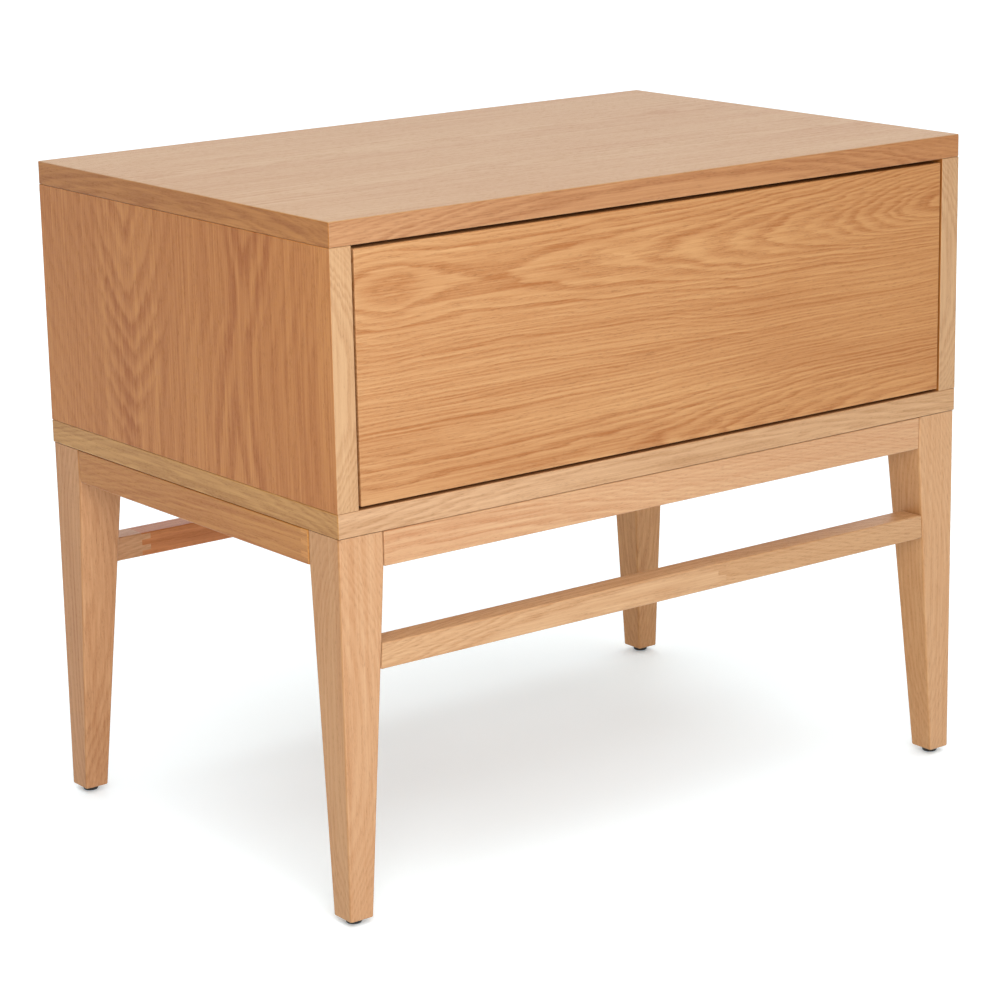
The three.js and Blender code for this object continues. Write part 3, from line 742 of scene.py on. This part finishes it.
def screw(node, towards, head_height, shank, body, metal):
    """A pan-head wood screw with a cross recess. Its place, length and head are the node's own."""
    low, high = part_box(node)
    axis = max(range(3), key=lambda i: abs(towards[i]))
    across = (axis + 1) % 3
    head = (high[across] - low[across]) / 2
    middle = (low + high) / 2
    middle[axis] = (low if towards[axis] > 0 else high)[axis] + towards[axis] * head_height
    length = high[axis] - low[axis] - head_height
    flat = 0.66 * head
    dome = [(flat, -head_height), (0.82 * head, -0.94 * head_height), (0.94 * head, -0.74 * head_height),
            (head, -0.44 * head_height), (head, -0.1 * head_height), (0.96 * head, 0), (0.78 * shank, 0)]
    pitch = 0.75 * shank
    turns = int((length - 2 * shank) / pitch)
    thread = [(shank * size, (i + part) * pitch) for i in range(turns)
              for size, part in ((0.72, 0.35), (1.0, 0.55), (0.72, 0.75))]
    solid, rim = turned(dome + thread + [(0, length)], middle, towards, 24)

    # The recess: a cross cut down into the flat of the head, narrowing as it goes.
    turn = Vector(towards).to_track_quat("Z", "X")
    arm, reach = 0.11 * head, 0.5 * head
    quarter = [(arm, arm), (arm, reach), (-arm, reach)]
    quarter_turns = ((1, 0), (0, 1), (-1, 0), (0, -1))
    cross = [(x * c - y * s, x * s + y * c) for c, s in quarter_turns for x, y in quarter]
    mouth = [solid.verts.new(middle + turn @ Vector((x, y, -head_height))) for x, y in cross]
    floor_of_cross = [solid.verts.new(middle + turn @ Vector((0.5 * x, 0.5 * y, -0.35 * head_height)))
                      for x, y in cross]
    edges = []
    for ring in (rim, mouth):
        for i, corner in enumerate(ring):
            other = ring[(i + 1) % len(ring)]
            edges.append(solid.edges.get((corner, other)) or solid.edges.new((corner, other)))
    for i in range(len(cross)):
        j = (i + 1) % len(cross)
        solid.faces.new((mouth[i], mouth[j], floor_of_cross[j], floor_of_cross[i]))
    solid.faces.new(floor_of_cross)
    bmesh.ops.triangle_fill(solid, use_beauty=True, edges=edges)
    return fit(shade_round(to_mesh(node + "_turned", solid, [metal]), 30), body, "zinc_steel", node)


def sawn(face):
    """0 for the block's level faces; 1 for its upright ones, where the saw crossed the grain."""
    return 0 if abs(face.normal.z) > 0.5 else 1


block_side = birch("birch_block_face", "X", "Y", seed=2)
block_end = end_grain("birch_block_end", seed=1)
screw_steel = steel("zinc_screw", "Z", 0.24)
FRAME_HEAD, FRAME_SHANK = 2.4 * MM, 2.0 * MM
BLOCK_NOTCH, BLOCK_EASING = 20 * MM, 0.7 * MM
for corner in leg_tones:
    side, end = ways(corner)
    node = "corner_block_" + corner
    low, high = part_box(node)
    # Measured from the corner of the frame: the two aprons' inner faces and the notch round the leg.
    near = Vector((low.x if side < 0 else high.x, low.y if end < 0 else high.y))
    reach, notch = high.x - low.x, BLOCK_NOTCH
    outline = [(0, notch), (notch, notch), (notch, 0), (reach, 0), (0, reach)]
    outline = [(near.x - side * x, near.y - end * y) for x, y in outline]
    solid = prism(outline, 2, low.z, high.z)
    rounded = ease(solid, BLOCK_EASING, None, 2)
    block = to_mesh(node + "_sawn", solid, [block_side, block_end], rounded, sawn)
    fit(block, "carcass", "pale_wood", node)
    screw("frame_screw_" + corner, (0, 0, 1), FRAME_HEAD, FRAME_SHANK, "carcass", screw_steel)

# ---- Drawer front ----
# One 18 mm veneered board, set flush in the box with a two-millimetre gap all round. Its grain runs
# level, with long arches in the upper half and a second set of them rising from the lower edge.
low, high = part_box("drawer_front")
# The drawer front is painted paler and cooler at its left end and darker and warmer at its right: painted
# shade for the light falling off to the right.
front_veneer = oak(
    "oak_drawer_veneer", "X", "Z",
    [[(0, 149, 40.6), (32, 149, 39), (56, 149, 40.3), (110, 148, 42), (192, 147, 39.5), (300, 144, 36),
      (348, 143, 33), (400, 145, 29.9), (460, 147, 25), (520, 150, 16), (600, 153, 8)],
     [(0, 2, 41), (100, 1, 40), (200, 1, 38.5), (256, 0, 37.6), (344, 0, 31.2), (440, 0, 23.9),
      (600, 0, 16)]],
    paint(194, 144, 93), paint(159, 97, 47), start=low, year=2.6, figure=0.55, quiet=0.8, wave=1.2, seed=30,
    painted_falloff=((1.02, 1.07, 1.2), (0.97, 0.91, 0.79)))
drawer_face = board("oak_drawer_front", low, high, 0.8 * MM, [front_veneer] * 3)
fit(drawer_face, "drawer", "oak_veneer", "drawer_front")

# ---- Drawer box ----
# Four 12 mm birch plywood boards, joined with glued dowels, and a 6 mm plywood bottom that slides
# into grooves from behind. The sanded edges show the plies. Two screws hold the oak front on.
PLY = 12 * MM
BOX_EASING = 0.8 * MM
PLY_STEP = 12.0 / 9  # nine plies, in the millimetres that the finishes are measured in


def plies(name, thick_axis, grain, start):
    """The edge of plywood: every second ply is cut across its grain and darker, with thin glue lines."""
    w = Finish(name)
    place = w.place(start)
    through = w.split(place)[thick_axis]
    uneven = w.noise(w.scaled(place, tuple(1 / 40 if axis == grain else 0.2 for axis in "XYZ")))
    layers = w.math("DIVIDE", w.times(uneven, 0.3, w.minus(through, 0.15)), PLY_STEP)
    cut_across = w.math("MODULO", w.math("FLOOR", layers), 2.0)
    glue = w.math("ABSOLUTE", w.minus(w.math("FRACT", layers), 0.5))
    glue = w.above(glue, 0.42, 0.49)
    fibre = w.noise(w.scaled(place, tuple(1 / 16 if axis == grain else 2.2 for axis in "XYZ")), 2.0)
    pores = w.noise(w.scaled(place, (2.6, 2.6, 2.6)), 2.0, 0.7)
    long_ply = w.blend(fibre, paint(220, 192, 148), paint(196, 160, 114))
    cross_ply = w.blend(pores, paint(188, 149, 104), paint(150, 109, 69))
    colour = w.blend(cut_across, long_ply, cross_ply)
    colour = w.blend(w.times(glue, 0.6), colour, paint(112, 76, 46))
    relief = w.minus(w.times(pores, cut_across), glue)
    return w.surface(colour, 0.6, relief, 0.25, 0.2 * MM, shine=0.3)


bottom_low, bottom_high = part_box("drawer_bottom")
GROOVE_PLAY = 0.3 * MM
groove_z = (bottom_low.z - GROOVE_PLAY, bottom_high.z + GROOVE_PLAY)
dowel_end = end_grain("birch_dowel_end", seed=4)
DOWEL, DOWEL_SUNK, DOWEL_PROUD, DOWEL_EDGE = 4 * MM, 3 * MM, 0.15 * MM, 0.1 * MM
sub_low, sub_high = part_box("drawer_sub_front")
back_low, back_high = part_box("drawer_back")
for number, (side_name, side) in enumerate((("left", -1), ("right", 1))):
    node = "drawer_" + side_name + "_side"
    low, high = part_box(node)
    inner, outer = (high.x, low.x) if side < 0 else (low.x, high.x)
    bed = inner + side * PLY / 2
    outline = [(low.z, inner), (low.z, outer), (high.z, outer), (high.z, inner), (groove_z[1], inner),
               (groove_z[1], bed), (groove_z[0], bed), (groove_z[0], inner)]
    solid = prism(outline, 1, low.y, high.y)
    # All arrises are sanded but those of the groove, which is out of the sander's reach.
    groove_edges = [e for e in solid.edges if all(
        abs(v.co.x - outer) > 0.1 * MM and abs(v.co.z - groove_z[0]) < PLY / 1.5 for v in e.verts)]
    arrises = [e for e in solid.edges if e not in groove_edges]
    rounded = ease(solid, BOX_EASING, arrises, 2)
    skins = [birch("birch_" + node, "Y", "Z", low, seed=5 + number),
             plies("plies_end_" + node, "X", "Z", low), plies("plies_" + node, "X", "Y", low)]
    board_side = to_mesh(node + "_board", solid, skins, rounded, by_side)
    fit(board_side, "drawer", "pale_wood", node)

    # The ends of the dowels that pin the front and the back between the sides.
    pegs = bmesh.new()
    length = DOWEL_SUNK + DOWEL_PROUD
    peg = [(0, 0), (DOWEL, 0), (DOWEL, length - DOWEL_EDGE), (DOWEL - DOWEL_EDGE, length), (0, length)]
    for across_y in ((sub_low.y + sub_high.y) / 2, (back_low.y + back_high.y) / 2):
        for share in (0.2, 0.5, 0.8):
            z = groove_z[1] + share * (high.z - groove_z[1])
            turned(peg, (outer - side * DOWEL_SUNK, across_y, z), (side, 0, 0), 24, pegs)
    dowels = shade_round(to_mesh("drawer_dowels_" + side_name, pegs, [dowel_end]))
    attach(dowels, "drawer")

for number, node in enumerate(("drawer_sub_front", "drawer_back")):
    low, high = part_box(node)
    outline = [(low.y, low.z), (high.y, low.z), (high.y, high.z), (low.y, high.z)]
    if node == "drawer_sub_front":
        # The bottom's groove is on the rear face.
        bed = high.y - PLY / 2
        outline = [(low.y, low.z), (high.y, low.z), (high.y, groove_z[0]), (bed, groove_z[0]),
                   (bed, groove_z[1]), (high.y, groove_z[1]), (high.y, high.z), (low.y, high.z)]
    solid = prism(outline, 0, low.x, high.x)
    upper = [e for e in solid.edges if all(v.co.z > high.z - 0.1 * MM for v in e.verts)]
    rounded = ease(solid, BOX_EASING, upper, 2)
    skins = [plies("plies_end_" + node, "Y", "Z", low),
             birch("birch_" + node, "X", "Z", low, seed=9 + number),
             plies("plies_" + node, "Y", "X", low)]
    fit(to_mesh(node + "_board", solid, skins, rounded, by_side), "drawer", "pale_wood", node)

bottom_face = birch("birch_drawer_bottom", "X", "Y", bottom_low, seed=12)
bottom_edge = plies("plies_drawer_bottom", "Z", "X", bottom_low)
bottom_skins = [bottom_edge, bottom_edge, bottom_face]
bottom_panel = board("drawer_bottom_board", bottom_low, bottom_high, PANEL_EASING, bottom_skins)
fit(bottom_panel, "drawer", "pale_wood", "drawer_bottom")
FRONT_HEAD, FRONT_SHANK = 2.0 * MM, 2.0 * MM
for side_name in ("left", "right"):
    screw("drawer_front_screw_" + side_name, (0, -1, 0), FRONT_HEAD, FRONT_SHANK, "drawer", screw_steel)

# ---- Runners ----
# Two full-extension ball-bearing runners. Each has a cabinet rail, a middle rail and a drawer rail,
# folded from zinc-plated strip with rounded bends, and rows of balls in steel cages between them.
SHEET = 1.2 * MM
rail_steel = steel("zinc_rail", "Y", 0.27)
cage_steel = steel("cage_strip", "Y", 0.4, (0.5, 0.49, 0.47))
ball_steel = steel("ball_bearing_steel", "Y", 0.08, (0.7, 0.7, 0.72))


def folded(web, lips, half, bend, curl, sheet):
    """The section of a C-shaped rail folded from strip, as (height, distance from the box's side)
    points. The web is the middle of the strip, bend the radius at its corners, and curl the
    radius of the lips, which turn in towards the centre line."""
    inward = math.copysign(1, lips - web)
    line = []
    for centre, radius, first in ((lips - inward * curl, curl, 0), (web + inward * bend, bend, 90)):
        for step in range(7):
            angle = math.radians(first + 15 * step)
            height = -half + radius - radius * math.sin(angle)
            line.append((height, centre + inward * radius * math.cos(angle)))
    line += [(-height, across) for height, across in reversed(line)]
    inner, outer = [], []
    for i, (height, across) in enumerate(line):
        before, after = line[max(i - 1, 0)], line[min(i + 1, len(line) - 1)]
        run = Vector((after[0] - before[0], after[1] - before[1])).normalized() * sheet / 2
        inner.append((height - run.y, across + run.x))
        outer.append((height + run.y, across - run.x))
    return inner + outer[::-1]


def rail_piece(name, section, side, wall, centre, start, end, metal):
    """The section run along Y, set against the box's side on the left or the right."""
    outline = [(centre + height, side * (wall - across)) for height, across in section]
    return shade_round(to_mesh(name, prism(outline, 1, start, end), [metal]), 30)


def slot_cutter(x, y, z, long_y, tall_z):
    """An oblong punch with round ends, driven through a rail's web along X."""
    radius = min(long_y, tall_z) / 2
    ends = []
    for quarter in range(4):
        way_y, way_z = ((1, 1), (-1, 1), (-1, -1), (1, -1))[quarter]
        for step in range(5):
            angle = math.radians(90 * quarter + 22.5 * step)
            ends.append((y + way_y * (long_y / 2 - radius) + radius * math.cos(angle),
                         z + way_z * (tall_z / 2 - radius) + radius * math.sin(angle)))
    return to_mesh("punch", prism(ends, 0, x - 3 * MM, x + 3 * MM), [])


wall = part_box("right_side_panel")[0].x
CABINET_HEAD, DRAWER_HEAD, RAIL_SHANK = 1.5 * MM, 1.4 * MM, 1.75 * MM
# Web and lips are measured from the box's side, as the middle of the strip; half is half the height.
webs = {"cabinet": 0.9 * MM, "middle": 4.8 * MM, "drawer": 12.1 * MM}
rail_sections = {
    "cabinet": folded(webs["cabinet"], 10.2 * MM, 22.2 * MM, 2.4 * MM, 1.6 * MM, SHEET),
    "middle": folded(webs["middle"], 10.0 * MM, 16.4 * MM, 2.0 * MM, 0.8 * MM, SHEET),
    "drawer": folded(webs["drawer"], 7.2 * MM, 11.4 * MM, 2.2 * MM, 0.7 * MM, SHEET),
}
# Round holes and oblong slots, as the distance from the rail's front end and the two sizes.
punches = {
    "cabinet": [(20, 4.5, 9), (84, 6, 6), (150, 14, 4.5), (205, 6, 6), (284, 9, 4.5)],
    "middle": [(14, 5, 5), (110, 22, 9), (190, 22, 9), (286, 5, 5)],
    "drawer": [(16, 9, 4.5), (90, 5, 5), (148, 4.5, 10), (212, 5, 5), (286, 9, 4.5)],
}
# Cage: section, which part of the middle rail it lies in, and the ball's size, distance and height.
cages = {
    "outer": (folded(3.73 * MM, 9.2 * MM, 19.3 * MM, 1.2 * MM, 0.3 * MM, 0.36 * MM),
              (0.53, 0.97), (2.15, 7.2, 19.3)),
    "inner": (folded(5.9 * MM, 9.3 * MM, 13.9 * MM, 1.0 * MM, 0.3 * MM, 0.4 * MM),
              (0.03, 0.47), (1.7, 7.5, 13.9)),
}
BALL_PAIRS = 11
for side_name, side in (("left", -1), ("right", 1)):
    bodies = {"cabinet": "carcass", "middle": side_name + "_runner_middle", "drawer": "drawer"}
    for kind, section in rail_sections.items():
        node = side_name + "_" + kind + "_rail"
        low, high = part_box(node)
        centre = (low.z + high.z) / 2
        rail = rail_piece(node + "_strip", section, side, wall, centre, low.y, high.y, rail_steel)
        web_x = side * (wall - webs[kind])
        cut_away(rail, *[slot_cutter(web_x, low.y + at * MM, centre, long_y * MM, tall_z * MM)
                         for at, long_y, tall_z in punches[kind]])
        fit(rail, bodies[kind], "zinc_steel", node)

    low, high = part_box(side_name + "_middle_rail")
    centre = (low.z + high.z) / 2
    for kind, (section, (first, last), (ball, across, height)) in cages.items():
        start, end = low.y + first * (high.y - low.y), low.y + last * (high.y - low.y)
        ending = kind + "_" + side_name
        cage = rail_piece("ball_cage_" + ending, section, side, wall, centre, start, end, cage_steel)
        balls = bmesh.new()
        for i in range(BALL_PAIRS):
            y = start + (i + 0.5) / BALL_PAIRS * (end - start)
            for up in (-1, 1):
                spot = Matrix.Translation((side * (wall - across * MM), y, centre + up * height * MM))
                bmesh.ops.create_uvsphere(
                    balls, u_segments=16, v_segments=10, radius=ball * MM, matrix=spot)
        row = shade_round(to_mesh("balls_" + ending, balls, [ball_steel]), 80)
        for piece in (cage, row):
            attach(piece, side_name + "_runner_middle")

    for kind, way, head, body in (("cabinet", side, CABINET_HEAD, "carcass"),
                                  ("drawer", -side, DRAWER_HEAD, "drawer")):
        for end_name in ("front", "back"):
            node = kind + "_rail_screw_" + side_name + "_" + end_name
            screw(node, (way, 0, 0), head, RAIL_SHANK, body, screw_steel)

# ---- Push-to-open latch ----
# The drawer has no handle: a press on its front lets a sprung plunger push it out. The latch is a
# round-backed grey plastic barrel with two ears, screwed to a birch block on the bottom board, and
# its plunger meets a small steel plate on the drawer's back.
housing_plastic = moulded("latch_plastic", (0.25, 0.26, 0.27, 1), 0.4, 0.12)
plunger_plastic = moulded("plunger_plastic", (0.016, 0.016, 0.017, 1), 0.38, 0.2)

low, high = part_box("latch_block")
stand = board("latch_block_sawn", low, high, 0.9 * MM,
              [end_grain("latch_block_end", seed=6), birch("latch_block_face", "X", "Z", low, seed=14),
               birch("latch_block_top", "X", "Y", low, seed=15)])
fit(stand, "carcass", "pale_wood", "latch_block")

low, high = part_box("latch_housing")
shaft_low, shaft_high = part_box("latch_plunger")
axis_z = (shaft_low.z + shaft_high.z) / 2
barrel = high.z - axis_z
BARREL_EASING, EAR_THICK, EAR_ROUND = 0.8 * MM, 2 * MM, 5 * MM
back_arch = []
for degrees in range(0, 181, 15):
    angle = math.radians(degrees)
    back_arch.append((axis_z + barrel * math.sin(angle), barrel * math.cos(angle)))
solid = prism([(low.z, barrel)] + back_arch + [(low.z, -barrel)], 1, low.y, high.y)
lengthways = running(solid, 1)
ease(solid, BARREL_EASING, [e for e in solid.edges if e not in lengthways], 2)
housing = to_mesh("latch_barrel", solid, [housing_plastic])
solid = new_block(low, (high.x, high.y, low.z + EAR_THICK))
ease(solid, EAR_ROUND, running(solid, 2), 6)
ears = to_mesh("ears", solid, [housing_plastic])
welded = housing.modifiers.new("ears", "BOOLEAN")
welded.operation, welded.solver, welded.object = "UNION", "EXACT", ears
BORE, BORE_MOUTH, END_WALL = 4.3 * MM, 4.9 * MM, 4 * MM
drill = [(0, low.y - MM), (BORE_MOUTH, low.y - MM), (BORE_MOUTH, low.y), (BORE, low.y + 0.7 * MM),
         (BORE, high.y - END_WALL), (0, high.y - END_WALL)]
drilled, _ = turned(drill, (0, 0, axis_z), (0, 1, 0), 40)
cut_away(housing, to_mesh("drill", drilled, []))
bpy.data.objects.remove(ears)
fit(shade_round(housing), "carcass", "grey_plastic", "latch_housing")
LATCH_HEAD, LATCH_SHANK = 1.5 * MM, 1.5 * MM
for side_name in ("left", "right"):
    screw("latch_screw_" + side_name, (0, 0, -1), LATCH_HEAD, LATCH_SHANK, "carcass", screw_steel)

# The plunger's tip is domed and its shaft has two rings that guide it in the bore.
tip, guide = (shaft_high.x - shaft_low.x) / 2, 4.0 * MM
shaft = 0.85 * guide
end = shaft_high.y - shaft_low.y
profile = [(0, 0), (0.5 * tip, 0.1 * MM), (0.82 * tip, 0.45 * MM), (0.97 * tip, 1.1 * MM), (tip, 1.7 * MM),
           (tip, 2.7 * MM), (0.95 * tip, 3 * MM), (shaft, 3 * MM)]
for ring in (8 * MM, end - 12 * MM):
    profile += [(shaft, ring), (guide, ring + 0.3 * MM), (guide, ring + 3 * MM), (shaft, ring + 3.3 * MM)]
profile += [(shaft, end - 0.4 * MM), (0.75 * guide, end), (0, end)]
solid, _ = turned(profile, (0, shaft_low.y, axis_z), (0, 1, 0), 36)
plunger = shade_round(to_mesh("latch_plunger_turned", solid, [plunger_plastic]))
fit(plunger, "latch_plunger", "black_plastic", "latch_plunger")

# The plate on the drawer: rounded corners, held by two small rivets.
low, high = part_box("latch_strike")
PLATE_ROUND, RIVET, RIVET_INSET = 3 * MM, 2 * MM, 3.6 * MM
solid = new_block(low, high)
ease(solid, PLATE_ROUND, running(solid, 1), 5)
thick = high.y - low.y
rivet = [(0, 0), (RIVET, 0), (RIVET, thick), (0.85 * RIVET, thick + 0.45 * MM),
         (0.4 * RIVET, thick + 0.7 * MM), (0, thick + 0.75 * MM)]
for x in (low.x + RIVET_INSET, high.x - RIVET_INSET):
    turned(rivet, (x, low.y, (low.z + high.z) / 2), (0, 1, 0), 24, solid)
strike = shade_round(to_mesh("latch_strike_plate", solid, [steel("zinc_plate", "X", 0.25)]), 30)
fit(strike, "drawer", "zinc_steel", "latch_strike")

# The spring behind the plunger is wound from round wire, with its end turns lying close.
low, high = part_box("latch_spring")
WIRE, TURNS, STEPS, WIRE_SIDES = 0.45 * MM, 5, 24, 10
END_CLOSENESS = 0.055
wire_angles = [2 * math.pi * k / WIRE_SIDES for k in range(WIRE_SIDES)]
coil_radius = (high.x - low.x) / 2 - WIRE
run = high.y - low.y - 2 * WIRE
solid = bmesh.new()
rings = []
for i in range(TURNS * STEPS + 1):
    share = i / (TURNS * STEPS)
    angle = 2 * math.pi * TURNS * share
    outward = Vector((math.cos(angle), 0, math.sin(angle)))
    y = low.y + WIRE + run * (share - END_CLOSENESS * math.sin(2 * math.pi * share))
    middle = Vector((0, y, axis_z)) + coil_radius * outward
    rings.append([solid.verts.new(middle + WIRE * (math.cos(a) * outward + math.sin(a) * Vector((0, 1, 0))))
                  for a in wire_angles])
for lower, upper in zip(rings, rings[1:]):
    for k in range(WIRE_SIDES):
        j = (k + 1) % WIRE_SIDES
        solid.faces.new((lower[k], lower[j], upper[j], upper[k]))
solid.faces.new(rings[0])
solid.faces.new(rings[-1])
spring = shade_round(to_mesh("latch_spring_coil", solid, [steel("spring_wire", "Y", 0.22)]), 60)
fit(spring, "carcass", "zinc_steel", "latch_spring")
length = high.y - low.y
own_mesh(spring)
